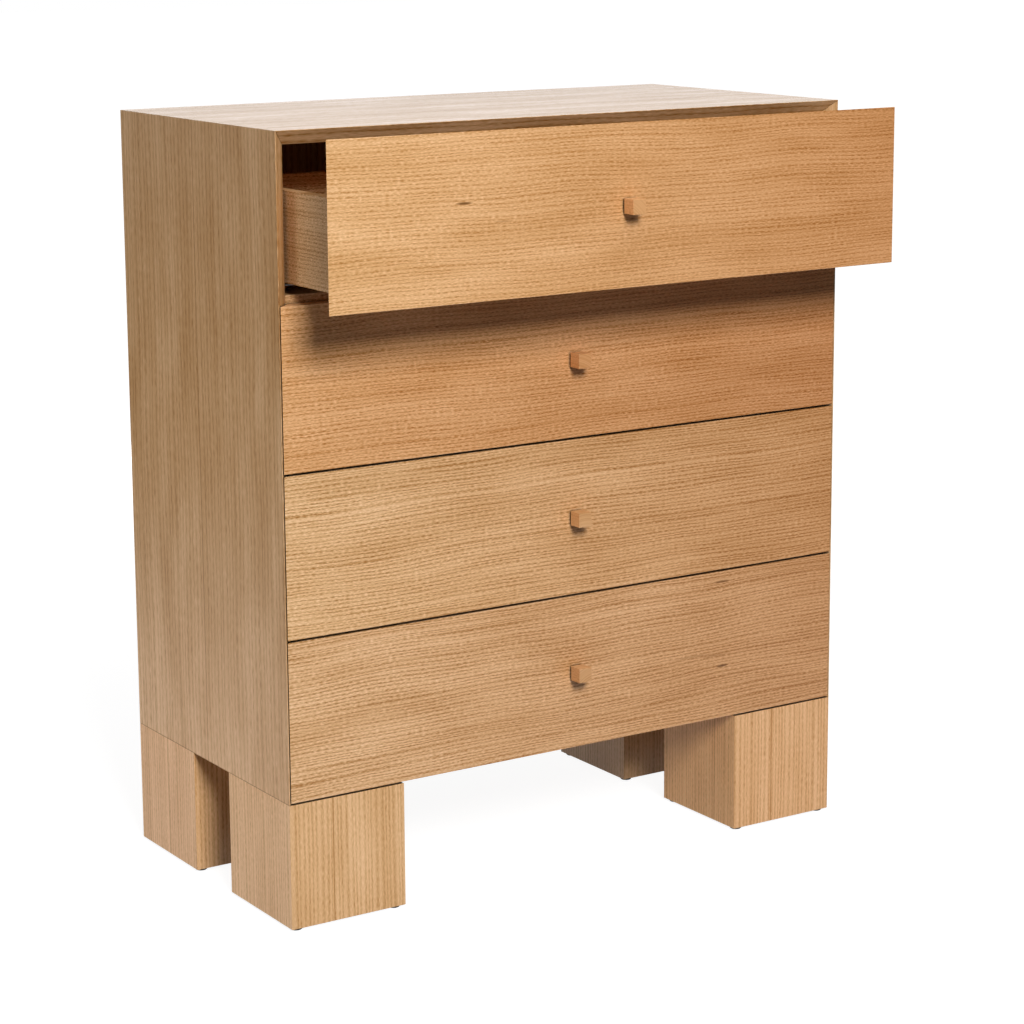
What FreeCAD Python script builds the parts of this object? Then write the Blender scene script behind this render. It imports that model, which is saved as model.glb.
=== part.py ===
"""Chest of drawers on four square block legs. All lengths are millimetres.

Frame: +Z is up, the drawer fronts face -Y, and +X is to the right seen from the front.
The origin is on the floor, under the centre of the box that holds the whole chest
while its top drawer stands open by top_drawer_open.
Drawers are numbered from the top. Each board, leg and drawer piece is a node of its
own; the two runners of a drawer share a node, and so do fasteners of one kind.
"""
import FreeCAD, Part
import math
import os

V = FreeCAD.Vector

# Whole chest
chest_width = 900.0
chest_depth = 450.0
chest_height = 1050.0
drawer_count = 4
top_drawer_open = 125.0

# Carcass boards, mitred at the corners; top and sides are bevelled inwards at the front
board = 19.0
bevel_nose = 0.8
rail_depth = 60.0
rail_gap = 1.0
back_thickness = 8.0
back_lap = 9.0
fit_gap = 0.2

# Legs and glides
leg_width = 173.0
leg_height = 170.0
glide_radius = 8.5
glide_foot_radius = 6.0
glide_height = 4.0
glide_bevel_height = 2.0
glide_inset = 12.0
glide_pin_radius = 1.5
glide_pin_length = 12.0

# Drawer fronts: reveal is the slot beside the carcass, front_gap the one between two
front_thickness = 19.0
reveal = 2.5
front_gap = 3.0

# Drawer boxes: lift and recess are measured up from the lower edge of front and box
box_length = 330.0
box_height = 118.0
box_wall = 15.0
box_side_gap = 5.0
box_lift = 23.0
bottom_thickness = 9.0
bottom_recess = 13.0
groove_depth = 6.0

# Knobs: a square block that stands off the front on a short round neck
knob_width = 20.0
knob_length = 21.0
knob_neck_radius = 6.0
knob_neck_length = 3.0

# Runners: a fixed rail, a middle member that wraps its head, and a slide that wraps both
runner_steel = 1.5
runner_play = 0.3
runner_flange_height = 34.0
runner_drop = 3.5
runner_head_width = 16.0
runner_head_height = 4.0
runner_lip = 3.0
runner_side_gap = 2.0
runner_end_gap = 1.0

# Fasteners: shank radius, head radius and head height, then how deep the tip holds
leg_bolt = (4.0, 6.5, 5.0)
leg_bolt_grip = 45.0
leg_bolt_spacing = 90.0
back_screw = (1.75, 3.5, 1.75)
back_screw_grip = 20.0
back_screw_corner = 70.0
back_screw_column_count = 3
back_screw_row_count = 4
runner_screw = (1.75, 3.2, 1.6)
runner_screw_grip = 12.0
runner_screw_end = 37.0
runner_screw_rise = 26.0
front_screw = (2.0, 4.0, 2.0)
front_screw_grip = 14.0
front_screw_end = 90.0
front_screw_edge = 30.0
knob_screw = (2.0, 4.0, 2.5)
knob_screw_grip = 14.0
thread_gap = 0.05
head_gap = 0.5

# Flats round the small turned pieces, few because there are so many of them
fastener_sides = 8
glide_sides = 14
knob_neck_sides = 24

# Places worked out from the sizes above
half_width = chest_width / 2
inner_half = half_width - board
carcass_low = glide_height + leg_height
front_y = (top_drawer_open + knob_neck_length + knob_length - chest_depth) / 2
rear_y = front_y + chest_depth
drawer_pitch = (chest_height - carcass_low - 2 * reveal + front_gap) / drawer_count
front_height = drawer_pitch - front_gap
box_y = front_y + front_thickness
rail_y = box_y + rail_gap
box_rear_y = box_y + box_length
box_half = inner_half - box_side_gap
box_inner_half = box_half - box_wall
runner_wrap = runner_play + runner_steel
runner_x = -box_inner_half + runner_side_gap + 2 * runner_wrap + runner_head_width / 2
runner_y = box_y + box_wall + runner_end_gap
runner_length = box_rear_y - runner_y

nodes = {}


def block(x_low, x_high, y_low, y_high, z_low, z_high):
    """Return a rectangular block between two values on each axis."""
    return Part.makeBox(x_high - x_low, y_high - y_low, z_high - z_low, V(x_low, y_low, z_low))


def extrude(outline, travel):
    """Return the solid that a flat closed outline sweeps along a straight line."""
    return Part.Face(Part.makePolygon(outline + outline[:1])).extrude(travel)


def mirrored(shape):
    """Return the shape's mirror image in the chest's middle plane."""
    return shape.mirror(V(0, 0, 0), V(1, 0, 0))


def spaced(first, last, count):
    """Return evenly spaced values from first to last, or their middle if count is one."""
    if count < 2:
        return [(first + last) / 2]
    return [first + (last - first) * step / (count - 1) for step in range(count)]


def turned(start, direction, length, radius, end_radius, sides):
    """Return a round bar or taper along direction, with flats instead of a true circle."""
    turn = FreeCAD.Rotation(V(0, 0, 1), direction)
    wires = []
    for along, size in ((0, radius), (length, end_radius)):
        angles = [2 * math.pi * (step + 0.5) / sides for step in range(sides + 1)]
        ring = [V(size * math.cos(angle), size * math.sin(angle), along) for angle in angles]
        wires.append(Part.makePolygon([start + turn.multVec(point) for point in ring]))
    return Part.makeLoft(wires, True, True)


def fastener(seat, direction, size, length, sunk, gap):
    """Return a screw or bolt whose shank goes length along direction from its seat.

    A sunk head is a taper below the seat, any other head a disc above it. With a gap
    the shape is larger all round: the hole that the fastener goes in.
    """
    radius, head_radius, head_height = size
    shank = turned(seat, direction, length + gap, radius + gap, radius + gap, fastener_sides)
    if sunk:
        head = turned(seat, direction, head_height, head_radius + gap, radius + gap, fastener_sides)
    else:
        room = head_gap if gap else 0.0
        head = turned(seat, direction * -1, head_height + room, head_radius + room,
                      head_radius + room, fastener_sides)
    return shank.fuse(head)


def carcass_outline(inset, low, y):
    """Return the carcass's outline at y, drawn in by inset beside and above, from low up."""
    half = half_width - inset
    high = chest_height - inset
    return [V(-half, y, low), V(half, y, low), V(half, y, high), V(-half, y, high)]


def front_wedge(inset, depth):
    """Return the space behind the front plane that narrows at 45 degrees going back.

    It narrows beside the side boards and under the top board, but not at its foot.
    """
    near = carcass_outline(inset, carcass_low, front_y)
    far = carcass_outline(inset + depth, carcass_low, front_y + depth)
    wires = [Part.makePolygon(outline + outline[:1]) for outline in (near, far)]
    return Part.makeLoft(wires, True, True)


def drawer_numbers():
    """Return the drawers' numbers, with 1 at the top."""
    return range(1, drawer_count + 1)


def drawer_low(number):
    """Return the height of the lower edge of a drawer's front."""
    return carcass_low + reveal + (drawer_count - number) * drawer_pitch


def drawer_open(number):
    """Return how far a drawer stands open at rest."""
    return top_drawer_open if number == 1 else 0.0


def board_blanks():
    """Return the four mitred boards of the carcass before their bevel, rebate and holes.

    The bottom board starts behind the lowest drawer front, in line with the rails, and
    in front of it the side boards go straight down to the legs.
    """
    outer = carcass_outline(0, carcass_low, front_y)
    inner = carcass_outline(board, carcass_low + board, front_y)
    blanks = []
    for side in range(4):
        after = (side + 1) % 4
        outline = [outer[side], outer[after], inner[after], inner[side]]
        blanks.append(extrude(outline, V(0, chest_depth, 0)))
    bottom, right, top, left = blanks
    corner = block(inner_half, half_width, front_y, rail_y, carcass_low, carcass_low + board)
    notch = block(-half_width, half_width, front_y, rail_y, carcass_low, carcass_low + board)
    return {"bottom_panel": bottom.cut(notch),
            "right_panel": right.fuse(corner).removeSplitter(),
            "top_panel": top,
            "left_panel": left.fuse(mirrored(corner)).removeSplitter()}


def make_carcass():
    """Four boards with bevelled front edges and a rebate, and the back that fits it."""
    rebate_half = inner_half + back_lap
    rebate_low = carcass_low + board - back_lap
    rebate_high = chest_height - board + back_lap
    rebate = block(-rebate_half, rebate_half, rear_y - back_thickness, rear_y, rebate_low, rebate_high)
    bevel = front_wedge(bevel_nose, board - bevel_nose)
    holes = back_screws(thread_gap) + runner_screws(thread_gap) + leg_bolts(thread_gap)
    for name, blank in board_blanks().items():
        nodes[name] = blank.cut([bevel, rebate] + holes)
    back = block(-rebate_half + fit_gap, rebate_half - fit_gap, rear_y - back_thickness, rear_y,
                 rebate_low + fit_gap, rebate_high - fit_gap)
    nodes["back_panel"] = back.cut(back_screws(thread_gap))
    nodes["back_screws"] = Part.makeCompound(back_screws())


def back_screws(gap=0.0):
    """Return the sunk screws round the back, in the middle of the rebate's width."""
    edge = board - back_lap / 2
    half = half_width - edge
    low = carcass_low + edge
    high = chest_height - edge
    seats = []
    for x in spaced(-half + back_screw_corner, half - back_screw_corner, back_screw_column_count):
        seats += [V(x, rear_y, low), V(x, rear_y, high)]
    for z in spaced(low + back_screw_corner, high - back_screw_corner, back_screw_row_count):
        seats += [V(-half, rear_y, z), V(half, rear_y, z)]
    length = back_thickness + back_screw_grip
    return [fastener(seat, V(0, -1, 0), back_screw, length, True, gap) for seat in seats]


def make_front_rails():
    """A rail between the side boards, behind each joint between two drawer fronts."""
    for number in drawer_numbers()[:-1]:
        middle = drawer_low(number) - front_gap / 2
        nodes[f"front_rail_{number}"] = block(-inner_half, inner_half, rail_y, rail_y + rail_depth,
                                              middle - board / 2, middle + board / 2)


def leg_corners():
    """Return each leg's name and the lowest X and Y of its block."""
    left = -half_width
    right = half_width - leg_width
    rear = rear_y - leg_width
    return {"leg_front_left": (left, front_y), "leg_front_right": (right, front_y),
            "leg_rear_left": (left, rear), "leg_rear_right": (right, rear)}


def leg_bolts(gap=0.0):
    """Return the bolts, two to a leg, that go down through the bottom board."""
    under_head = board - leg_bolt[2] - head_gap
    bolts = []
    for x, y in leg_corners().values():
        middle = V(x + leg_width / 2, y + leg_width / 2, carcass_low + under_head)
        for offset in (-leg_bolt_spacing / 2, leg_bolt_spacing / 2):
            bolts.append(fastener(middle + V(0, offset, 0), V(0, 0, -1), leg_bolt,
                                  under_head + leg_bolt_grip, False, gap))
    return bolts


def glides(gap=0.0):
    """Return the bevelled discs under the corners of the legs, each with a pin up the leg."""
    up = V(0, 0, 1)
    pieces = []
    for x, y in leg_corners().values():
        for glide_x in (x + glide_inset, x + leg_width - glide_inset):
            for glide_y in (y + glide_inset, y + leg_width - glide_inset):
                foot = V(glide_x, glide_y, 0)
                bevel = turned(foot, up, glide_bevel_height, glide_foot_radius, glide_radius, glide_sides)
                disc = turned(foot + up * glide_bevel_height, up, glide_height - glide_bevel_height,
                              glide_radius, glide_radius, glide_sides)
                pin = turned(foot + up * glide_height, up, glide_pin_length + gap,
                             glide_pin_radius + gap, glide_pin_radius + gap, fastener_sides)
                pieces.append(bevel.fuse([disc, pin]))
    return pieces


def make_legs():
    """Four square blocks, flush with the outer faces of the carcass above them."""
    holes = leg_bolts(thread_gap) + glides(thread_gap)
    for name, (x, y) in leg_corners().items():
        leg = block(x, x + leg_width, y, y + leg_width, glide_height, carcass_low)
        nodes[name] = leg.cut(holes)
    nodes["leg_bolts"] = Part.makeCompound(leg_bolts())
    nodes["glides"] = Part.makeCompound(glides())


def bent_strip(path, y, length):
    """Return a steel strip bent along X, Z points and extruded towards +Y.

    The path is one side of the strip. The other is the path moved to its left by the
    steel's thickness, each corner where its two moved runs cross.
    """
    runs = [(end - start).normalize() for start, end in zip(path, path[1:])]
    moved = []
    for point, before, after in zip(path, runs[:1] + runs, runs + runs[-1:]):
        left = V(-before.z - after.z, 0, before.x + after.x)
        moved.append(point + left * (2 * runner_steel / left.Length ** 2))
    return extrude([V(p.x, y, p.z) for p in path + moved[::-1]], V(0, length, 0))


def runner_head(number):
    """Return the heights of the underside and top of a fixed rail's head."""
    high = drawer_low(number) + box_lift + bottom_recess - 2 * runner_wrap
    return high - runner_head_height, high


def runner_rail(number):
    """Return the left fixed rail: a flange on the side board, a web, a stem and a head."""
    box_low = drawer_low(number) + box_lift
    head_low, head_high = runner_head(number)
    web = box_low - runner_drop - runner_steel
    stem = runner_x + runner_steel / 2
    path = [V(-inner_half, 0, box_low + runner_flange_height), V(-inner_half, 0, web),
            V(stem, 0, web), V(stem, 0, head_low)]
    head = block(runner_x - runner_head_width / 2, runner_x + runner_head_width / 2,
                 runner_y, runner_y + runner_length, head_low, head_high)
    return bent_strip(path, runner_y, runner_length).fuse(head).removeSplitter()


def runner_channel(number, layer):
    """Return the left channel that wraps the rail's head as its first or second layer."""
    head_low, head_high = runner_head(number)
    grown = layer * runner_wrap
    half = runner_head_width / 2 + grown
    slot = runner_head_width / 2 - runner_lip
    low = head_low - grown
    high = head_high + grown
    path = [V(slot, 0, low), V(half, 0, low), V(half, 0, high),
            V(-half, 0, high), V(-half, 0, low), V(-slot, 0, low)]
    return bent_strip([point + V(runner_x, 0, 0) for point in path], runner_y, runner_length)


def runner_screws(gap=0.0):
    """Return the screws that hold both fixed rails of every drawer to the side boards."""
    screws = []
    for number in drawer_numbers():
        rise = drawer_low(number) + box_lift + runner_screw_rise
        for y in (runner_y + runner_screw_end, runner_y + runner_length - runner_screw_end):
            screw = fastener(V(-inner_half + runner_steel, y, rise), V(-1, 0, 0), runner_screw,
                             runner_steel + runner_screw_grip, False, gap)
            screws += [screw, mirrored(screw)]
    return screws


def make_runners():
    """Each drawer's pair of fixed rails and the pair of middle members riding on them."""
    for number in drawer_numbers():
        rail = runner_rail(number).cut(runner_screws(thread_gap))
        middle = runner_channel(number, 1).translated(V(0, -drawer_open(number) / 2, 0))
        nodes[f"runner_rails_{number}"] = Part.makeCompound([rail, mirrored(rail)])
        nodes[f"runner_middles_{number}"] = Part.makeCompound([middle, mirrored(middle)])
    nodes["runner_screws"] = Part.makeCompound(runner_screws())


def drawer_screws(number, gap=0.0):
    """Return the four screws through the box's front and the one that holds the knob."""
    low = drawer_low(number)
    box_low = low + box_lift
    half = box_inner_half - front_screw_end
    screws = []
    for x in (-half, half):
        for z in (box_low + front_screw_edge, box_low + box_height - front_screw_edge):
            screws.append(fastener(V(x, box_y + box_wall, z), V(0, -1, 0), front_screw,
                                   box_wall + front_screw_grip, True, gap))
    seat = V(0, box_y - knob_screw[2] - head_gap, low + front_height / 2)
    length = seat.y - front_y + knob_neck_length + knob_screw_grip
    screws.append(fastener(seat, V(0, -1, 0), knob_screw, length, False, gap))
    return screws


def drawer_front(number):
    """Return a drawer's front: mitred beside the side and top boards, otherwise square."""
    low = drawer_low(number)
    slab = block(-half_width, half_width, front_y, box_y, low, low + front_height)
    return slab.common(front_wedge(reveal, front_thickness))


def drawer_knob(number):
    """Return a knob: its square block and the round neck behind it."""
    middle = drawer_low(number) + front_height / 2
    half = knob_width / 2
    block_y = front_y - knob_neck_length
    neck = turned(V(0, front_y, middle), V(0, -1, 0), knob_neck_length, knob_neck_radius,
                  knob_neck_radius, knob_neck_sides)
    return block(-half, half, block_y - knob_length, block_y, middle - half, middle + half).fuse(neck)


def drawer_box(number):
    """Return a drawer's box: two grooved sides, a grooved front, a back and the bottom."""
    low = drawer_low(number) + box_lift
    high = low + box_height
    floor_low = low + bottom_recess
    floor_high = floor_low + bottom_thickness
    groove_half = box_inner_half + groove_depth
    groove_y = box_y + box_wall - groove_depth
    groove = block(-groove_half, groove_half, groove_y, box_rear_y, floor_low, floor_high + fit_gap)
    left = block(-box_half, -box_inner_half, box_y, box_rear_y, low, high).cut(groove)
    front = block(-box_inner_half, box_inner_half, box_y, box_y + box_wall, low, high)
    back = block(-box_inner_half, box_inner_half, box_rear_y - box_wall, box_rear_y, floor_high, high)
    bottom = block(-groove_half + fit_gap, groove_half - fit_gap, groove_y + fit_gap, box_rear_y,
                   floor_low, floor_high)
    return {"left_side": left, "right_side": mirrored(left), "box_front": front.cut(groove),
            "back": back, "bottom": bottom}


def make_drawers():
    """Every drawer's front, knob, box, screws and the slides under its bottom."""
    for number in drawer_numbers():
        holes = drawer_screws(number, thread_gap)
        slide = runner_channel(number, 2)
        pieces = drawer_box(number)
        pieces["box_front"] = pieces["box_front"].cut(holes)
        pieces["front"] = drawer_front(number).cut(holes)
        pieces["knob"] = drawer_knob(number).cut(holes)
        pieces["screws"] = Part.makeCompound(drawer_screws(number))
        pieces["slides"] = Part.makeCompound([slide, mirrored(slide)])
        for name, shape in pieces.items():
            nodes[f"drawer_{number}_{name}"] = shape.translated(V(0, -drawer_open(number), 0))


def save():
    """Write each node to a STEP file that has its name."""
    os.makedirs("parts", exist_ok=True)
    for name, shape in nodes.items():
        shape.exportStep(f"parts/{name}.step")


make_carcass()
make_front_rails()
make_legs()
make_runners()
make_drawers()
save()
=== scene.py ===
"""Looks of a chest of drawers: oak veneer, steel runners and screws, black glides, a studio.

Lengths are metres in the model's own frame: +Z up, drawer fronts facing -Y, +X to the right
seen from the front, the floor at Z = 0. Drawers are numbered from the top.
"""
import math

import bpy
import numpy as np
from mathutils import Matrix, Vector


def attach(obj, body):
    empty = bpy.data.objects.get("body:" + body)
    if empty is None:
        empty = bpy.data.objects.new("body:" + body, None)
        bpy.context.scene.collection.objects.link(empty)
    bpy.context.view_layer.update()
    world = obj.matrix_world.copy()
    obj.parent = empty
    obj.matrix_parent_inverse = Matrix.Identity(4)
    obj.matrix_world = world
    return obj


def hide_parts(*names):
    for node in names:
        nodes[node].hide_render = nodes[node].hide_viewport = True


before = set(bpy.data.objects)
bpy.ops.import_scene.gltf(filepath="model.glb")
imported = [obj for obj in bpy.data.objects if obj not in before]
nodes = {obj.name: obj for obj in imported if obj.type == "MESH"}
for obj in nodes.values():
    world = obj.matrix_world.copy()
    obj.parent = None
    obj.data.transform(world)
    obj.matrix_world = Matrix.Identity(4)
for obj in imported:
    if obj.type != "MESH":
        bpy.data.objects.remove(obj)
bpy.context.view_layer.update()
MM = 0.001
DRAWERS = (1, 2, 3, 4)

# Places in millimetres: outer and inner half width, front and rear planes with all drawers
# shut, the carcass's lower edge, the chest's height, a leg's width
HALF, INNER, FRONT_Y, REAR_Y = 450.0, 431.0, -150.5, 299.5
CARCASS_LOW, CHEST_HIGH, LEG = 174.0, 1050.0, 173.0
LEG_CORNERS = [(x, y) for x in (-HALF, HALF - LEG) for y in (FRONT_Y, REAR_Y - LEG)]

# Drawers in millimetres: each front's lower edge, the knob's height over it, the way each
# drawer stands open, and the rear of a shut front, where its box starts
FRONT_LOW = {number: 176.5 + 218.5 * (4 - number) for number in DRAWERS}
KNOB_RISE = 107.75
OPEN = {1: 125.0, 2: 0.0, 3: 0.0, 4: 0.0}
BOX_Y = FRONT_Y + 19.0

# ---------------------------------------------------------------- shader helpers


def socket(sockets, key):
    """Return the enabled socket that has this name or number."""
    if isinstance(key, int):
        return sockets[key]
    return next(s for s in sockets if s.name == key and s.enabled)


def add(tree, kind, inputs=None, **settings):
    """Add a node with these settings. An input is a value or another node's output."""
    node = tree.nodes.new(kind)
    for name, value in settings.items():
        setattr(node, name, value)
    for key, value in (inputs or {}).items():
        target = socket(node.inputs, key)
        if isinstance(value, bpy.types.NodeSocket):
            tree.links.new(value, target)
        else:
            target.default_value = value
    return node


def calc(tree, operation, *values):
    """Return the result of a Math node on values or other nodes' outputs."""
    return add(tree, "ShaderNodeMath", dict(enumerate(values)), operation=operation).outputs[0]


def ramp(tree, value, low, high, to_low=0.0, to_high=1.0, smooth=True):
    """Return value carried from low..high to to_low..to_high, held at both ends."""
    kind = "SMOOTHSTEP" if smooth else "LINEAR"
    inputs = {"Value": value, "From Min": low, "From Max": high, "To Min": to_low, "To Max": to_high}
    return add(tree, "ShaderNodeMapRange", inputs, interpolation_type=kind).outputs[0]


def join(tree, x, y, z=0.0):
    """Return a vector made of three numbers or outputs."""
    return add(tree, "ShaderNodeCombineXYZ", {0: x, 1: y, 2: z}).outputs[0]


def noise(tree, vector, detail):
    """Return 3-D noise, about 0.5 on average, at a vector already in feature sizes."""
    inputs = {"Vector": vector, "Scale": 1.0, "Detail": detail, "Roughness": 0.5}
    return add(tree, "ShaderNodeTexNoise", inputs, noise_dimensions="3D").outputs["Fac"]


def line_noise(tree, value):
    """Return 1-D noise, about 0.5 on average."""
    inputs = {"W": value, "Scale": 1.0, "Detail": 1.0, "Roughness": 0.5}
    return add(tree, "ShaderNodeTexNoise", inputs, noise_dimensions="1D").outputs["Fac"]


def blend_colour(tree, share, first, second, kind="MIX"):
    """Return first mixed with second by share."""
    node = add(tree, "ShaderNodeMix", data_type="RGBA", blend_type=kind)
    for key, value in ((0, share), (6, first), (7, second)):
        if isinstance(value, bpy.types.NodeSocket):
            tree.links.new(value, node.inputs[key])
        else:
            node.inputs[key].default_value = value
    return node.outputs[2]


def shade(red, green, blue):
    """Return the linear colour of sRGB values from 0 to 255."""
    def linear(value):
        """Undo the sRGB curve for one value."""
        value /= 255
        return value / 12.92 if value <= 0.04045 else ((value + 0.055) / 1.055) ** 2.4
    return (linear(red), linear(green), linear(blue), 1.0)


def new_material(name):
    """Return a new material with its tree and its Principled shader."""
    material = bpy.data.materials.new(name)
    material.use_nodes = True
    return material, material.node_tree, material.node_tree.nodes["Principled BSDF"]


def paint(material, *names):
    """Give CAD nodes this material."""
    for name in names:
        for slot in nodes[name].material_slots:
            slot.material = material


# ---------------------------------------------------------------- oak

# Inputs of the figure: the place along and across the grain, and what a piece can set, with
# widths and reaches in metres and the rest in hundreds of colour steps
OAK_INPUTS = (("Along", 0.0), ("Across", 0.0), ("Ring", 4.9 * MM), ("Drift", 9 * MM), ("Line", 0.30),
              ("Fleck", 1.7), ("Reach", 4.4 * MM), ("Band", 0.45))
# How often each noise turns in a metre, along and across the grain
BEND_TURNS, TREMBLE_TURNS = (3.2, 9.0), (30.0, 110.0)
STRENGTH_TURNS, BAND_TURNS = (9.0, 60.0), (4.5, 24.0)
FLECK_TURNS_ACROSS = 900.0
TREMBLE = 2.0 * MM
# The rings' wander, in rings, and how often it turns in a ring
WANDER, WANDER_TURNS = 1.5, 0.4
RING_POWER, RING_MEAN = 1.7, 0.375


def oak_figure():
    """Return the node group that draws rift-sawn oak from its place along and across the grain.

    Two noises bend the distance across: a slow one as far as the drift, and a quick one by
    the tremble. Turns is the bent distance over the ring width, and a year ring is
    (0.5 + 0.5 cos(2 pi (turns + wander))) to the ring power, so that its dark part is the
    narrower one, times a strength that comes and goes. Flecks are fine noise that reaches
    a few millimetres along the grain, strongest in the dark part of a ring. Bands are wide
    and slow. Value = line * (ring mean - ring) + fleck * flecks + band * bands: it is 0 on
    average, and lower where the wood is darker. Height drops in the dark flecks.
    """
    tree = bpy.data.node_groups.new("oak_figure", "ShaderNodeTree")
    for name, value in OAK_INPUTS:
        item = tree.interface.new_socket(name, in_out="INPUT", socket_type="NodeSocketFloat")
        item.default_value = value
    for name in ("Value", "Height"):
        tree.interface.new_socket(name, in_out="OUTPUT", socket_type="NodeSocketFloat")
    given = add(tree, "NodeGroupInput").outputs
    along, across = given["Along"], given["Across"]

    def stretched(turns_along, turns_across, width=across, detail=2.0):
        """Return noise, 0 on average, with this many turns in a metre along and across."""
        x = calc(tree, "MULTIPLY", along, turns_along)
        y = calc(tree, "MULTIPLY", width, turns_across)
        return calc(tree, "SUBTRACT", noise(tree, join(tree, x, y), detail), 0.5)

    bend = calc(tree, "MULTIPLY", stretched(*BEND_TURNS, detail=1.0), given["Drift"])
    tremble = calc(tree, "MULTIPLY", stretched(*TREMBLE_TURNS, detail=1.0), TREMBLE)
    bent = calc(tree, "ADD", across, calc(tree, "MULTIPLY_ADD", bend, 2.0, tremble))

    turns = calc(tree, "DIVIDE", bent, given["Ring"])
    slow_turns = calc(tree, "MULTIPLY", turns, WANDER_TURNS)
    wander = calc(tree, "MULTIPLY", line_noise(tree, slow_turns), WANDER)
    phase = calc(tree, "MULTIPLY", calc(tree, "ADD", turns, wander), 2 * math.pi)
    wave = calc(tree, "MULTIPLY_ADD", calc(tree, "COSINE", phase), 0.5, 0.5)
    strength = ramp(tree, stretched(*STRENGTH_TURNS, bent), -0.2, 0.2, 0.6, 1.25)
    ring = calc(tree, "MULTIPLY", calc(tree, "POWER", wave, RING_POWER), strength)

    fleck_turns_along = calc(tree, "DIVIDE", 1.0, given["Reach"])
    fine = stretched(fleck_turns_along, FLECK_TURNS_ACROSS, bent, 1.0)
    flecks = calc(tree, "MULTIPLY", fine, calc(tree, "MULTIPLY_ADD", ring, 0.7, 0.65))
    band = stretched(*BAND_TURNS, bent)

    value = calc(tree, "MULTIPLY", calc(tree, "SUBTRACT", RING_MEAN, ring), given["Line"])
    value = calc(tree, "MULTIPLY_ADD", flecks, given["Fleck"], value)
    value = calc(tree, "MULTIPLY_ADD", band, given["Band"], value)
    height = calc(tree, "ADD", 0.5, flecks)
    add(tree, "NodeGroupOutput", {"Value": value, "Height": height})
    return tree


OAK = oak_figure()


def dot(tree, point, direction):
    """Return a point's length along a direction."""
    node = add(tree, "ShaderNodeVectorMath", {0: point, 1: direction}, operation="DOT_PRODUCT")
    return node.outputs["Value"]


def distance(tree, point, axis_point, plane):
    """Return how far a point is from axis_point, measured in the plane's two directions."""
    away = add(tree, "ShaderNodeVectorMath", {0: point, 1: axis_point}, operation="SUBTRACT").outputs[0]
    flat = add(tree, "ShaderNodeVectorMath", {0: away, 1: plane}, operation="MULTIPLY").outputs[0]
    return add(tree, "ShaderNodeVectorMath", {0: flat}, operation="LENGTH").outputs["Value"]


TONE_STEPS = (-60, -30, 0, 30, 60)
STEP_SHARES = (0.87, 1.0, 1.17)


def tone_ramp(tree, value, tone):
    """Return the tone made lighter or darker by value, in hundreds of colour steps.

    A step counts least in red and most in blue, and value is held at the outermost steps.
    """
    span = (TONE_STEPS[-1] - TONE_STEPS[0]) / 100
    node = add(tree, "ShaderNodeValToRGB", {0: calc(tree, "MULTIPLY_ADD", value, 1 / span, 0.5)})
    elements = node.color_ramp.elements
    while len(elements) < len(TONE_STEPS):
        elements.new(0.5)
    for place, step in enumerate(TONE_STEPS):
        levels = [min(255, level + step * share) for level, share in zip(tone, STEP_SHARES)]
        elements[place].position = place / (len(TONE_STEPS) - 1)
        elements[place].color = shade(*levels)
    return node.outputs["Color"]


def change_of_tone(first, second):
    """Return the colour that turns the first tone into the second when multiplied by it."""
    return [b / a for a, b in zip(shade(*first)[:3], shade(*second)[:3])] + [1.0]


def crevice_painted_shade(tree):
    """Return painted shade: 1 on open wood, falling to a twentieth inside slots a few millimetres wide,
    where shade falls.
    """
    open_share = add(tree, "ShaderNodeAmbientOcclusion", {"Distance": 6 * MM}, samples=4).outputs["AO"]
    return ramp(tree, open_share, 0.3, 0.78, 0.05, 1.0)


def brown_veil(tree, value):
    """Return the colour that lets this share of red through, and less of green and blue."""
    return join(tree, value, calc(tree, "POWER", value, 1.2), calc(tree, "POWER", value, 1.6))


def streak_share(tree, length, width, marks):
    """Return the share of light that dark streaks leave: 1 off them, least in their middles.

    With u and v the distances from a streak's middle over its half length and half width,
    the loss fades smoothly as u * u + v * v goes from 0 to 1.
    """
    share = 1.0
    for mark_along, mark_across, half_length, half_width, loss in marks:
        u = calc(tree, "DIVIDE", calc(tree, "SUBTRACT", length, mark_along), half_length)
        v = calc(tree, "DIVIDE", calc(tree, "SUBTRACT", width, mark_across), half_width)
        away = calc(tree, "ADD", calc(tree, "MULTIPLY", u, u), calc(tree, "MULTIPLY", v, v))
        share = calc(tree, "MULTIPLY", share, ramp(tree, away, 0.0, 1.0, 1.0 - loss, 1.0))
    return share


# Metres by which the figure moves along and across: for each step of the seed, and past a seam
SEED_ALONG, SEED_ACROSS, SEAM_ALONG, SEAM_ACROSS = 3.71, 1.37, 1.93, 0.59
# What the dark seam lines take off the figure's value, and what the painted shade line at feet takes
SEAM_LOSS, FOOT_SHADE_LOSS = 0.45, 0.5


def figure_place(tree, length, width, seed, seams):
    """Return the figure's place along and across, which jumps at each seam, and the seams' line.

    The line is 1 on a seam and fades to 0 within 1.2 mm of it.
    """
    along = calc(tree, "ADD", length, SEED_ALONG * seed)
    across = calc(tree, "ADD", width, SEED_ACROSS * seed)
    line = 0.0
    for place in seams:
        after = ramp(tree, width, place - 0.05 * MM, place + 0.05 * MM, smooth=False)
        along = calc(tree, "MULTIPLY_ADD", after, SEAM_ALONG, along)
        across = calc(tree, "MULTIPLY_ADD", after, SEAM_ACROSS, across)
        away = calc(tree, "ABSOLUTE", calc(tree, "SUBTRACT", width, place))
        line = calc(tree, "ADD", line, ramp(tree, away, 0.4 * MM, 1.2 * MM, 1.0, 0.0))
    return along, across, line


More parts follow.
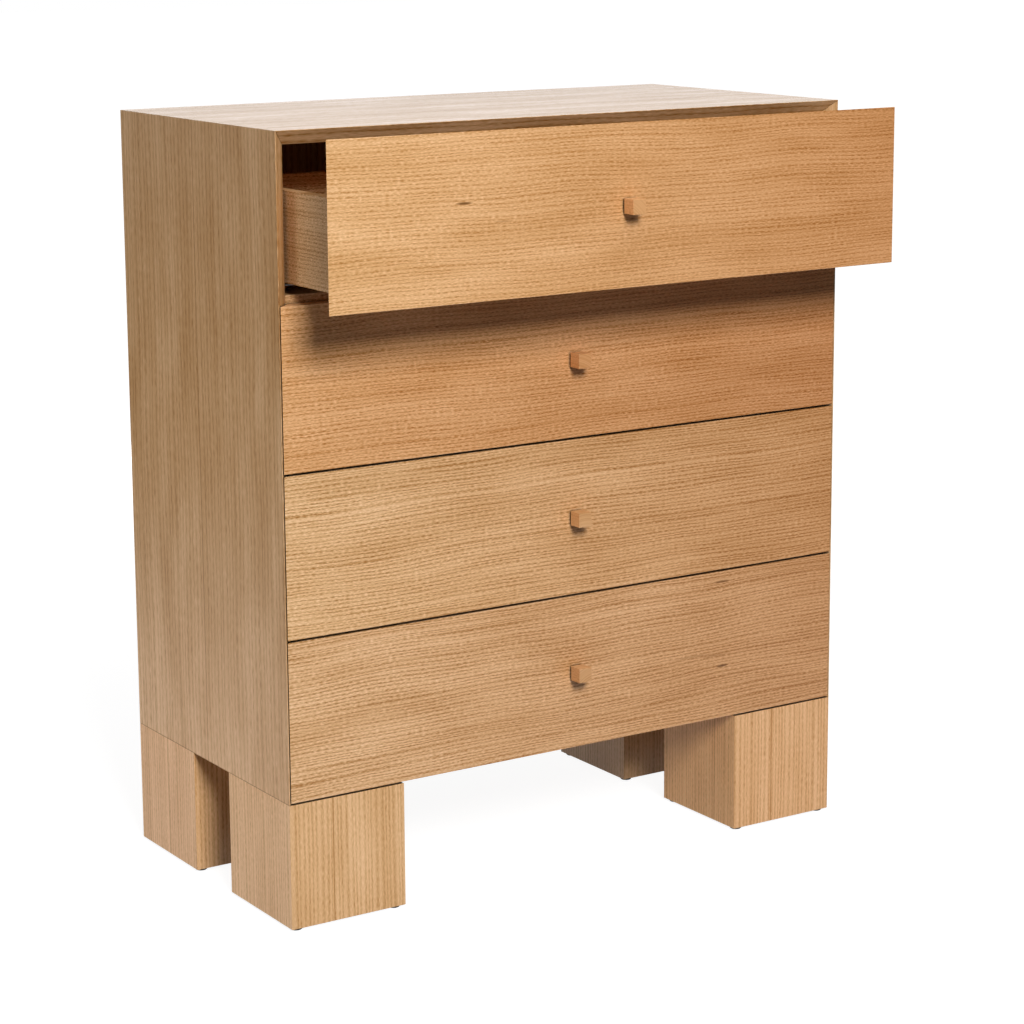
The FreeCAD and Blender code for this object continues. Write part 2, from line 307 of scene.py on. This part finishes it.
def oak(name, tone, along, across, seed, far=None, heart=None, leaf=None, seams=(), marks=(),
        foot=None, roughness=0.38, **figure):
    """Return an oak material of an average tone whose grain runs along one direction.

    Along and across are directions, and seed shifts the figure so that boards differ.
    Far is the tone that the wood slowly turns to: (tone, place along where it starts,
    place where it ends); on the left panel that turn is painted floor bounce. A heart is a
    point on the axis that the year rings run round, and takes the place of across. Leaf is
    a veneer leaf of their own for the faces that look along one axis: (axis, length added
    to the width there, tone); on the top panel's upper face and on the legs' sides that
    tone also holds painted light. Seams are places across the grain where one leaf ends
    and the next begins. Marks are dark streaks: (place along, place across, half length,
    half width, share of light lost). Foot is the place along of a lower end that stands on
    another piece, and a fine line of painted shade runs there. Painted shade also darkens
    slots a few millimetres wide. Figure sets inputs of the oak figure.
    there. Figure sets inputs of the oak figure.
    """
    material, tree, shader = new_material(name)
    coordinates = add(tree, "ShaderNodeTexCoord").outputs
    point = coordinates["Object"]
    length = dot(tree, point, along)
    if heart:
        width = distance(tree, point, heart, tuple(1 - abs(a) for a in along))
    else:
        width = dot(tree, point, across)
    if leaf:
        axis, leaf_shift, leaf_and_painted_light_tone = leaf
        facing = calc(tree, "ABSOLUTE", dot(tree, coordinates["Normal"], axis))
        axis_face_mask = calc(tree, "GREATER_THAN", facing, 0.9)
        width = calc(tree, "MULTIPLY_ADD", axis_face_mask, leaf_shift, width)
    place_along, place_across, seam_line = figure_place(tree, length, width, seed, seams)
    inputs = {"Along": place_along, "Across": place_across}
    inputs.update({key.capitalize(): value for key, value in figure.items()})
    drawn = add(tree, "ShaderNodeGroup", inputs, node_tree=OAK)
    value = drawn.outputs["Value"]
    if seams:
        value = calc(tree, "MULTIPLY_ADD", seam_line, -SEAM_LOSS, value)
    if foot is not None:
        # Painted shade: a fine dark line where the board stands on the legs, where the joint's shade
        # falls
        foot_painted_shade = ramp(tree, calc(tree, "SUBTRACT", length, foot), 0.5 * MM, 1.6 * MM, 1.0, 0.0)
        value = calc(tree, "MULTIPLY_ADD", foot_painted_shade, -FOOT_SHADE_LOSS, value)
    colour = tone_ramp(tree, value, tone)
    if far:
        far_tone, start, end = far
        turned = ramp(tree, length, start, end, smooth=False)
        colour = blend_colour(tree, turned, colour, change_of_tone(tone, far_tone), "MULTIPLY")
    # The leaf tone holds painted light on the top panel's upper face and on the legs' sides
    if leaf:
        colour = blend_colour(tree, axis_face_mask, colour, change_of_tone(tone, leaf_and_painted_light_tone), "MULTIPLY")
    if marks:
        streaks = brown_veil(tree, streak_share(tree, length, width, marks))
        colour = blend_colour(tree, 1.0, colour, streaks, "MULTIPLY")
    # Painted shade: the colour darkens in slots and gaps, where their own shade falls
    light = crevice_painted_shade(tree)
    colour = blend_colour(tree, 1.0, colour, join(tree, light, light, light), "MULTIPLY")
    tree.links.new(colour, shader.inputs["Base Color"])
    shader.inputs["Roughness"].default_value = roughness
    bump = add(tree, "ShaderNodeBump", {"Strength": 0.25, "Distance": 0.1 * MM,
                                        "Height": drawn.outputs["Height"]})
    tree.links.new(bump.outputs[0], shader.inputs["Normal"])
    return material


X, Y, Z = (1, 0, 0), (0, 1, 0), (0, 0, 1)
BOARD_TONE, BOX_TONE = (199, 154, 104), (194, 149, 101)
# The figure of the carcass's boards, and the bolder one of its top
PLAIN = {"ring": 10 * MM, "line": 0.225, "fleck": 0.95, "reach": 12 * MM, "band": 0.65}
BOLD = {"ring": 11 * MM, "line": 0.37, "fleck": 1.3, "reach": 12 * MM, "band": 1.1}

# Drawer fronts: half their length in millimetres, the tones at their left and right ends,
# and how strong their lines and flecks are
FRONT_HALF = 447.5
FRONT_TONES = {1: ((218, 169, 115), (195, 137, 85)), 2: ((212, 157, 102), (191, 130, 79)),
               3: ((215, 170, 119), (192, 137, 86)), 4: ((212, 166, 117), (192, 138, 89))}
FRONT_LINES = {1: 0.27, 2: 0.32, 3: 0.42, 4: 0.43}
FRONT_FLECKS = {1: 1.25, 2: 1.45, 3: 1.5, 4: 1.5}
# Dark streaks on the fronts: X, Z, half length and half width in millimetres, share of light lost
FRONT_MARKS = {1: [(-252, 958, 15, 2.3, 0.76), (-194, 932, 16, 1.8, 0.25)],
               2: [(-102, 765, 3, 1.2, 0.2), (-137, 702, 3, 1.2, 0.2)],
               3: [(0, 590, 5, 2.5, 0.12)],
               4: [(251, 377, 17, 2.2, 0.6), (252, 253, 13, 2.4, 0.72), (200, 274, 40, 1.9, 0.28),
                   (240, 270, 30, 1.9, 0.25)]}

# A leg's grain is drawn by X + Y, and by a metre more on the faces that look along X, so that
# each face is a veneer leaf of its own. In millimetres, as the seams are
SIDE_SHIFT = 1000


def front_seam(x):
    """Return the place of a seam at x on the front face of a front leg."""
    return x + FRONT_Y


def side_seam(face_x, y):
    """Return the place of a seam at y on the side face that lies at face_x."""
    return SIDE_SHIFT + face_x + y


# Legs: tone of the faces that look along Y, tone of the others, seams. On the left legs and most of all
# on the front right leg's inner face, the others' tone is lightened as painted bounce light
LEGS = {"leg_front_left": ((216, 170, 119), (225, 175, 121), [front_seam(-386)]),
        "leg_front_right": ((221, 170, 119), (245, 186, 122),
                            [front_seam(343.6), side_seam(277, -102)]),
        "leg_rear_left": ((217, 170, 119), (228, 176, 123), [side_seam(-450, 211)]),
        "leg_rear_right": ((217, 170, 119), (217, 170, 119), [])}


def front_oak(number):
    """Return the oak of a drawer front: its tone drifts from left to right.

    The grain is drawn by Z and a little of Y, so that the mitred ends carry it on.
    """
    near, far = FRONT_TONES[number]
    tilt = 0.4
    front_y = FRONT_Y - OPEN[number]
    marks = [(x * MM, (z + tilt * front_y) * MM, half_length * MM, half_width * MM, loss)
             for x, z, half_length, half_width, loss in FRONT_MARKS[number]]
    return oak(f"oak_front_{number}", near, X, (0, tilt, 1), seed=number, marks=marks,
               far=(far, -FRONT_HALF * MM, FRONT_HALF * MM), line=FRONT_LINES[number],
               fleck=FRONT_FLECKS[number], reach=5.5 * MM)


def leg_oak(name, tone, side_tone_with_painted_bounce, seed, seams):
    """Return the oak of a leg: upright grain, with other veneer leaves on neighbouring faces, whose
    tone also holds painted bounce light.
    """
    places = [place * MM for place in seams]
    return oak(f"oak_{name}", tone, Z, (1, 1, 0), seed=seed, leaf=(X, SIDE_SHIFT * MM, side_tone_with_painted_bounce),
               seams=places, ring=6.6 * MM, drift=3 * MM, line=0.27, fleck=0.8, reach=7 * MM)


def knob_oak(number):
    """Return the oak of a knob: end grain in front, round a heart below it, and paler sides."""
    tone = tuple((a + b) / 2 for a, b in zip(*FRONT_TONES[number]))
    paler = tuple(1.09 * level for level in tone)
    heart_x, heart_drop = 20 * number - 60, 45
    heart = (heart_x * MM, 0, (FRONT_LOW[number] + KNOB_RISE - heart_drop) * MM)
    return oak(f"oak_knob_{number}", tone, Y, None, seed=31 + number, leaf=(X, 0.0, paler),
               heart=heart, ring=3.2 * MM, line=0.10, fleck=0.5)


def paint_carcass():
    """Give each board, rail and leg its own oak."""
    foot = CARCASS_LOW * MM
    # Painted sheen: the top panel's upper face is paler and greyer, as lit gloss makes it look
    top_painted_sheen = (Z, 0.0, (219, 184, 149))
    # Painted floor bounce: the left panel turns lighter towards its foot, where light from the floor
    # falls
    left_painted_floor_bounce = ((213, 166, 115), 440 * MM, foot)
    boards = {
        "top_panel": oak("oak_top_panel", BOARD_TONE, X, (0, 1, -0.4), seed=13, leaf=top_painted_sheen,
                         roughness=0.26, **BOLD),
        "left_panel": oak("oak_left_panel", BOARD_TONE, Z, Y, seed=11, far=left_painted_floor_bounce,
                          seams=[82.5 * MM], foot=foot, **PLAIN),
        "right_panel": oak("oak_right_panel", BOARD_TONE, Z, Y, seed=12, foot=foot, **PLAIN),
        "bottom_panel": oak("oak_bottom_panel", BOARD_TONE, X, (0, 1, 0.4), seed=14, **PLAIN),
        "back_panel": oak("oak_back_panel", BOARD_TONE, Z, X, seed=15, **PLAIN)}
    for name, material in boards.items():
        paint(material, name)
    for rail in (1, 2, 3):
        paint(oak(f"oak_rail_{rail}", BOARD_TONE, X, (0, 1, 1), seed=16 + rail), f"front_rail_{rail}")
    for seed, (name, (tone, side_tone_with_painted_bounce, seams)) in enumerate(LEGS.items(), start=21):
        paint(leg_oak(name, tone, side_tone_with_painted_bounce, seed, seams), name)


def paint_drawers():
    """Give each front, knob and box piece its own oak."""
    for number in DRAWERS:
        drawer = f"drawer_{number}"
        paint(front_oak(number), f"{drawer}_front")
        paint(knob_oak(number), f"{drawer}_knob")
        sides = oak(f"oak_box_side_{number}", BOX_TONE, Y, Z, seed=41 + number)
        paint(sides, f"{drawer}_left_side", f"{drawer}_right_side")
        ends = oak(f"oak_box_end_{number}", BOX_TONE, X, (0, 0.3, 1), seed=51 + number)
        paint(ends, f"{drawer}_box_front", f"{drawer}_back")
        paint(oak(f"oak_box_bottom_{number}", BOX_TONE, X, Y, seed=61 + number), f"{drawer}_bottom")


def soften_edges():
    """Round the edges of the wooden pieces by almost half a millimetre, as fine sanding does.

    The corners of a node's loose triangles are joined first.
    """
    for name, node in nodes.items():
        if not any(slot.material.name.startswith("oak") for slot in node.material_slots):
            continue
        weld = node.modifiers.new("weld", "WELD")
        weld.merge_threshold = 0.01 * MM
        bevel = node.modifiers.new("soft_edges", "BEVEL")
        bevel.width = 0.45 * MM
        bevel.segments = 2
        bevel.limit_method = "ANGLE"
        bevel.angle_limit = math.radians(28)
        bevel.use_clamp_overlap = True


# ---------------------------------------------------------------- steel and plastic


def steel(name, colour, roughness):
    """Return plated steel with a faint mottle in its roughness, longer front to back."""
    mottle_turns = (160, 40, 160)
    material, tree, shader = new_material(name)
    point = add(tree, "ShaderNodeTexCoord").outputs["Object"]
    scaled = add(tree, "ShaderNodeVectorMath", {0: point, 1: mottle_turns}, operation="MULTIPLY")
    mottle = noise(tree, scaled.outputs[0], 3.0)
    uneven = ramp(tree, mottle, 0.3, 0.7, roughness - 0.06, roughness + 0.08)
    tree.links.new(uneven, shader.inputs["Roughness"])
    shader.inputs["Base Color"].default_value = colour
    shader.inputs["Metallic"].default_value = 1.0
    return material


def plastic(name, colour, roughness):
    """Return moulded plastic with a fine grain in its surface and its colour."""
    grain_turns = 2500.0
    material, tree, shader = new_material(name)
    point = add(tree, "ShaderNodeTexCoord").outputs["Object"]
    scaled = add(tree, "ShaderNodeVectorMath", {0: point, 3: grain_turns}, operation="SCALE")
    grain = noise(tree, scaled.outputs[0], 1.0)
    bump = add(tree, "ShaderNodeBump", {"Strength": 0.2, "Distance": 0.05 * MM, "Height": grain})
    tree.links.new(bump.outputs[0], shader.inputs["Normal"])
    paler = tuple(1.6 * level for level in colour[:3]) + (1.0,)
    tone = blend_colour(tree, grain, colour, paler)
    tree.links.new(tone, shader.inputs["Base Color"])
    shader.inputs["Roughness"].default_value = roughness
    return material


# ---------------------------------------------------------------- turned pieces


def cross_recess(x, y):
    """Depth of a cross driver's recess, 0 to 1, at x and y in radiuses of the recessed part.

    An arm is full up to 0.1 from its line and 0.42 from the centre, is gone at 0.2 and
    0.62, and falls evenly between. The deeper arm counts.
    """
    def arm(off, out):
        """Depth of one arm, off its line and out from the centre."""
        return np.clip((0.20 - np.abs(off)) / 0.10, 0, 1) * np.clip((0.62 - np.abs(out)) / 0.2, 0, 1)
    return np.maximum(arm(x, y), arm(y, x))


def hex_recess(x, y):
    """Depth of a six-sided socket, 0 to 1, at x and y in radiuses of the recessed part.

    The reach is the greatest of |x cos(a) + y sin(a)| for a = 0, 60 and 120 degrees. The
    socket is full up to a reach of 0.44 and gone at 0.52.
    """
    angles = np.radians([0, 60, 120])[:, None, None]
    reach = np.abs(x * np.cos(angles) + y * np.sin(angles)).max(axis=0)
    return np.clip((0.52 - reach) / 0.08, 0, 1)


def turned_pieces(name, body, replaced, seats, axis, profile, segments=24, face_rings=0,
                  recess=None, depth=0.0):
    """Make one object of equal turned pieces, one at each seat, all along one axis.

    The point at profile step i and turn j is seat + height[i] * axis
    + radius[i] * (cos(angle[j]) * side + sin(angle[j]) * up). The first and last steps
    lie on the axis and are single points, which closes both ends. Over the first
    face_rings steps the height also drops by depth times the recess there. Seats,
    profile and depth are in millimetres.
    """
    radius, height = np.array(profile, float).T * MM
    axis = np.array(axis, float)
    side = np.array([axis[1], axis[2], axis[0]])
    up = np.cross(axis, side)
    angles = np.linspace(0, 2 * np.pi, segments, endpoint=False)
    x, y = np.outer(radius[1:-1], np.cos(angles)), np.outer(radius[1:-1], np.sin(angles))
    rise = np.repeat(height[1:-1, None], segments, axis=1)
    top = height[0]
    if recess:
        recessed, face = radius[face_rings - 1], slice(face_rings - 1)
        rise[face] -= depth * MM * recess(x[face] / recessed, y[face] / recessed)
        top -= depth * MM
    rings = rise[..., None] * axis + x[..., None] * side + y[..., None] * up
    one = np.concatenate([[top * axis], rings.reshape(-1, 3), [height[-1] * axis]])
    seats = np.array(seats, float) * MM
    points = (seats[:, None, :] + one[None]).reshape(-1, 3)

    steps = len(radius) - 2
    grid = 1 + np.arange(steps * segments).reshape(steps, segments)
    after = np.roll(grid, -1, axis=1)
    quads = np.stack([grid[:-1], grid[1:], after[1:], after[:-1]], axis=-1).reshape(-1, 4)
    first = np.stack([np.zeros(segments, int), grid[0], after[0]], axis=-1)
    last = np.stack([grid[-1], np.full(segments, len(one) - 1), after[-1]], axis=-1)
    shift = (np.arange(len(seats)) * len(one))[:, None, None]
    faces = (quads[None] + shift).reshape(-1, 4).tolist()
    faces += (np.concatenate([first, last])[None] + shift).reshape(-1, 3).tolist()

    mesh = bpy.data.meshes.new(name)
    mesh.from_pydata(points.tolist(), [], faces)
    mesh.shade_smooth()
    mesh.set_sharp_from_angle(angle=math.radians(40))
    piece = bpy.data.objects.new(name, mesh)
    bpy.context.scene.collection.objects.link(piece)
    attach(piece, body)
    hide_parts(replaced)
    return piece


FACE_SHARES = (0, 0.15, 0.3, 0.45, 0.6, 0.72)


def screw_profile(shank, head, head_height, length, sunk):
    """Radius and height steps of a screw: face, rim, head, shank and a short point.

    The face's steps are the face shares of the head's radius. A sunk head is flat and
    tapers to the shank, and any other is domed and stands head_height proud.
    """
    face = [(share * head, 0) for share in FACE_SHARES]
    if sunk:
        rim = [(head * 0.97, 0), (head, -0.12), (shank, -head_height)]
    else:
        face = [(r, head_height - 0.35 * (r / head) ** 2) for r, _ in face]
        rim = [(head * 0.9, head_height - 0.4), (head, head_height - 0.9), (head, 0.05),
               (head * 0.97, 0), (shank, 0)]
    tip = [(shank, 2.5 * shank - length), (0.4 * shank, 0.3 - length), (0, -length)]
    return face + rim + tip


def screw_set(name, body, replaced, seats, axis, profile, recess, depth):
    """Make one object of equal screws with a driver recess, in place of a CAD node."""
    return turned_pieces(name, body, replaced, seats, axis, profile,
                         face_rings=len(FACE_SHARES), recess=recess, depth=depth)


def spaced(low, high, count):
    """Return evenly spaced values from low to high."""
    return np.linspace(low, high, count).tolist()


def make_glides():
    """Make the black discs under the legs: a domed edge above a narrower foot, and a pin.

    The edge is the curve (6.1 + 2.4 sin(a), 2.1 - 2.1 cos(a)) for a from 0 to 90 degrees,
    as radius and height in millimetres.
    """
    inset = 12
    seats = [(x + dx, y + dy, 0) for x, y in LEG_CORNERS for dx in (inset, LEG - inset)
             for dy in (inset, LEG - inset)]
    bend = np.radians(np.linspace(0, 90, 5))
    curve = [(6.1 + 2.4 * np.sin(a), 2.1 - 2.1 * np.cos(a)) for a in bend]
    upper = [(8.5, 3.5), (8.35, 3.9), (8.1, 4), (1.5, 4), (1.5, 15.5), (0, 16)]
    profile = [(radius, -height) for radius, height in [(0, 0), (5.2, 0)] + curve + upper]
    return turned_pieces("glide_discs", "carcass", "glides", seats, (0, 0, -1),
                         profile, segments=36)


def make_carcass_fasteners():
    """Make the back panel's screws, the legs' bolts and the runners' screws."""
    back_edge, back_corner = 14.5, 70
    half, low, high = HALF - back_edge, CARCASS_LOW + back_edge, CHEST_HIGH - back_edge
    back_seats = [(x, REAR_Y, z) for x in spaced(back_corner - half, half - back_corner, 3)
                  for z in (low, high)]
    back_seats += [(x, REAR_Y, z) for z in spaced(low + back_corner, high - back_corner, 4)
                   for x in (-half, half)]
    pieces = [screw_set("back_screw_set", "carcass", "back_screws", back_seats, Y,
                        screw_profile(1.75, 3.5, 1.75, 28, True), cross_recess, 1.1)]

    bolt_off, bolt_rise = 45, 13.5
    bolt_seats = [(x + LEG / 2, y + LEG / 2 + dy, CARCASS_LOW + bolt_rise) for x, y in LEG_CORNERS
                  for dy in (-bolt_off, bolt_off)]
    pieces.append(screw_set("leg_bolt_set", "carcass", "leg_bolts", bolt_seats, Z,
                            screw_profile(4, 6.5, 5, 58.5, False), hex_recess, 2.6))

    rail_steel, rail_screw_rise, rail_screw_places = 1.5, 49, (-78.5, 161.5)
    for sign, name in ((-1, "left"), (1, "right")):
        rail_seats = [(sign * (INNER - rail_steel), y, FRONT_LOW[number] + rail_screw_rise)
                      for number in DRAWERS for y in rail_screw_places]
        pieces.append(screw_set(f"runner_screw_set_{name}", "carcass", "runner_screws", rail_seats,
                                (-sign, 0, 0), screw_profile(1.75, 3.2, 1.6, 13.5, False),
                                cross_recess, 0.9))
    return pieces


def make_drawer_fasteners(number):
    """Make the four screws that hold a box to its front, and the screw of its knob."""
    box_lift, box_wall, screw_x, screw_rises, knob_screw_sunk = 23, 15, 321, (30, 88), 3
    box_y, low = BOX_Y - OPEN[number], FRONT_LOW[number]
    box_seats = [(x, box_y + box_wall, low + box_lift + rise)
                 for x in (-screw_x, screw_x) for rise in screw_rises]
    knob_seat = (0, box_y - knob_screw_sunk, low + KNOB_RISE)
    drawer = f"drawer_{number}"
    return [screw_set(f"{drawer}_box_screws", drawer, f"{drawer}_screws", box_seats, Y,
                      screw_profile(2, 4, 2, 29, True), cross_recess, 1.2),
            screw_set(f"{drawer}_knob_screw", drawer, f"{drawer}_screws", [knob_seat], Y,
                      screw_profile(2, 4, 2.5, 33, False), cross_recess, 1.2)]


def fit_hardware():
    """Give runners, fasteners and glides their metal and plastic."""
    zinc = steel("zinc_plate", (0.36, 0.36, 0.37, 1), 0.36)
    screw = steel("screw_steel", (0.60, 0.60, 0.58, 1), 0.28)
    black = plastic("black_glide", shade(24, 20, 18), 0.55)
    for number in DRAWERS:
        paint(zinc, f"runner_rails_{number}", f"runner_middles_{number}", f"drawer_{number}_slides")
    fasteners = make_carcass_fasteners()
    for number in DRAWERS:
        fasteners += make_drawer_fasteners(number)
    for piece in fasteners:
        piece.data.materials.append(screw)
    make_glides().data.materials.append(black)


# ---------------------------------------------------------------- studio and camera

# Lamps: degrees round to the right from the front, degrees up, metres from the middle of the
# chest, width in metres, watts
LAMPS = {"key": (-14.3, 31.5, 8.0, 2.4, 600.0), "overhead": (-20.0, 72.0, 2.6, 2.0, 24.3),
         "side_fill": (-95.0, -12.0, 1.8, 0.9, 9.8), "rear_fill": (168.0, -3.0, 3.2, 0.9, 20.0),
         "right_fill": (92.0, -3.0, 3.2, 0.9, 20.0)}


def make_lamps():
    """Make soft square lamps that face the middle of the chest."""
    middle = Vector((0, 0, 0.6))
    for name, (azimuth, elevation, metres, width, watts) in LAMPS.items():
        data = bpy.data.lights.new(name, "AREA")
        data.shape = "SQUARE"
        data.size = width
        data.energy = watts
        lamp = bpy.data.objects.new(name, data)
        bpy.context.scene.collection.objects.link(lamp)
        turn, rise = math.radians(azimuth), math.radians(elevation)
        level = math.cos(rise)
        away = Vector((math.sin(turn) * level, -math.cos(turn) * level, math.sin(rise)))
        lamp.location = middle + away * metres
        lamp.rotation_euler = away.to_track_quat("Z", "Y").to_euler()
        lamp.visible_camera = False


def make_world():
    """Make a world that looks white, and that gloss sees as a white wall behind the chest.

    Gloss sees nothing in front of the chest, and the chest's own light comes from the
    lamps alone.
    """
    world = bpy.data.worlds.new("studio")
    bpy.context.scene.world = world
    world.use_nodes = True
    tree = world.node_tree
    background = tree.nodes["Background"]
    background.inputs["Color"].default_value = (1, 1, 1, 1)
    path = add(tree, "ShaderNodeLightPath").outputs
    direction = add(tree, "ShaderNodeTexCoord").outputs["Generated"]
    backwards = add(tree, "ShaderNodeSeparateXYZ", {0: direction}).outputs["Y"]
    behind = ramp(tree, backwards, -0.2, 0.5)
    mirrored = calc(tree, "MULTIPLY", path["Is Glossy Ray"], behind)
    white = calc(tree, "MAXIMUM", path["Is Camera Ray"], path["Is Transmission Ray"])
    tree.links.new(calc(tree, "MAXIMUM", white, mirrored), background.inputs["Strength"])


def make_floor():
    """Make a plain floor that looks nearly white, keeps a soft shadow and shows in gloss nearby.

    Where it is seen, a share of it glows and the rest is paper, which holds the shadow. For
    bounced light it is a darker paper without glow. Near is 1 up to near_end metres from
    the point under the chest's middle, and fades to 0 at far_start.
    """
    half, near_end, far_start = 30.0, 0.8, 3.2
    glow_share, far_glow, near_loss = 0.72, 1.44, 0.16
    mesh = bpy.data.meshes.new("floor")
    corners = [(-half, -half, 0), (half, -half, 0), (half, half, 0), (-half, half, 0)]
    mesh.from_pydata(corners, [], [(0, 1, 2, 3)])
    floor = bpy.data.objects.new("floor", mesh)
    bpy.context.scene.collection.objects.link(floor)
    material, tree, shader = new_material("floor_paper")
    shader.inputs["Roughness"].default_value = 0.9
    path = add(tree, "ShaderNodeLightPath").outputs
    seen = calc(tree, "MAXIMUM", path["Is Camera Ray"], path["Is Transmission Ray"])
    dark_paper, pale_paper = (0.18, 0.18, 0.18, 1), (0.8, 0.8, 0.8, 1)
    paper = blend_colour(tree, seen, dark_paper, pale_paper)
    tree.links.new(paper, shader.inputs["Base Color"])
    point = add(tree, "ShaderNodeTexCoord").outputs["Object"]
    away = distance(tree, point, (0, 0, 0), (1, 1, 1))
    near = ramp(tree, away, near_end, far_start, 1.0, 0.0)
    strength = calc(tree, "MULTIPLY_ADD", near, -near_loss, far_glow)
    glow = add(tree, "ShaderNodeEmission", {"Color": (1, 1, 1, 1), "Strength": strength})
    mirrored = calc(tree, "MULTIPLY", path["Is Glossy Ray"], near)
    glowing = calc(tree, "MULTIPLY", calc(tree, "MAXIMUM", seen, mirrored), glow_share)
    mixed = add(tree, "ShaderNodeMixShader", {0: glowing, 1: shader.outputs[0], 2: glow.outputs[0]})
    tree.links.new(mixed.outputs[0], tree.nodes["Material Output"].inputs["Surface"])
    mesh.materials.append(material)


def make_camera():
    """Make a camera with a long lens, to the left of the chest, tipped down a little."""
    data = bpy.data.cameras.new("camera")
    data.sensor_width = 36.0
    data.lens = 97.28
    data.shift_y = -0.08
    camera = bpy.data.objects.new("camera", data)
    bpy.context.scene.collection.objects.link(camera)
    turn, tip, roll = (math.radians(angle) for angle in (32.85, 10.77, -0.35))
    place = Matrix.Translation((-2.0724, -3.2015, 1.3252))
    aim = Matrix.Rotation(-turn, 4, "Z") @ Matrix.Rotation(math.pi / 2 - tip, 4, "X")
    camera.matrix_world = place @ aim @ Matrix.Rotation(roll, 4, "Z")
    bpy.context.scene.camera = camera


paint_carcass()
paint_drawers()
fit_hardware()
soften_edges()
make_lamps()
make_world()
make_floor()
make_camera()
bpy.context.scene.view_settings.view_transform = "Standard"
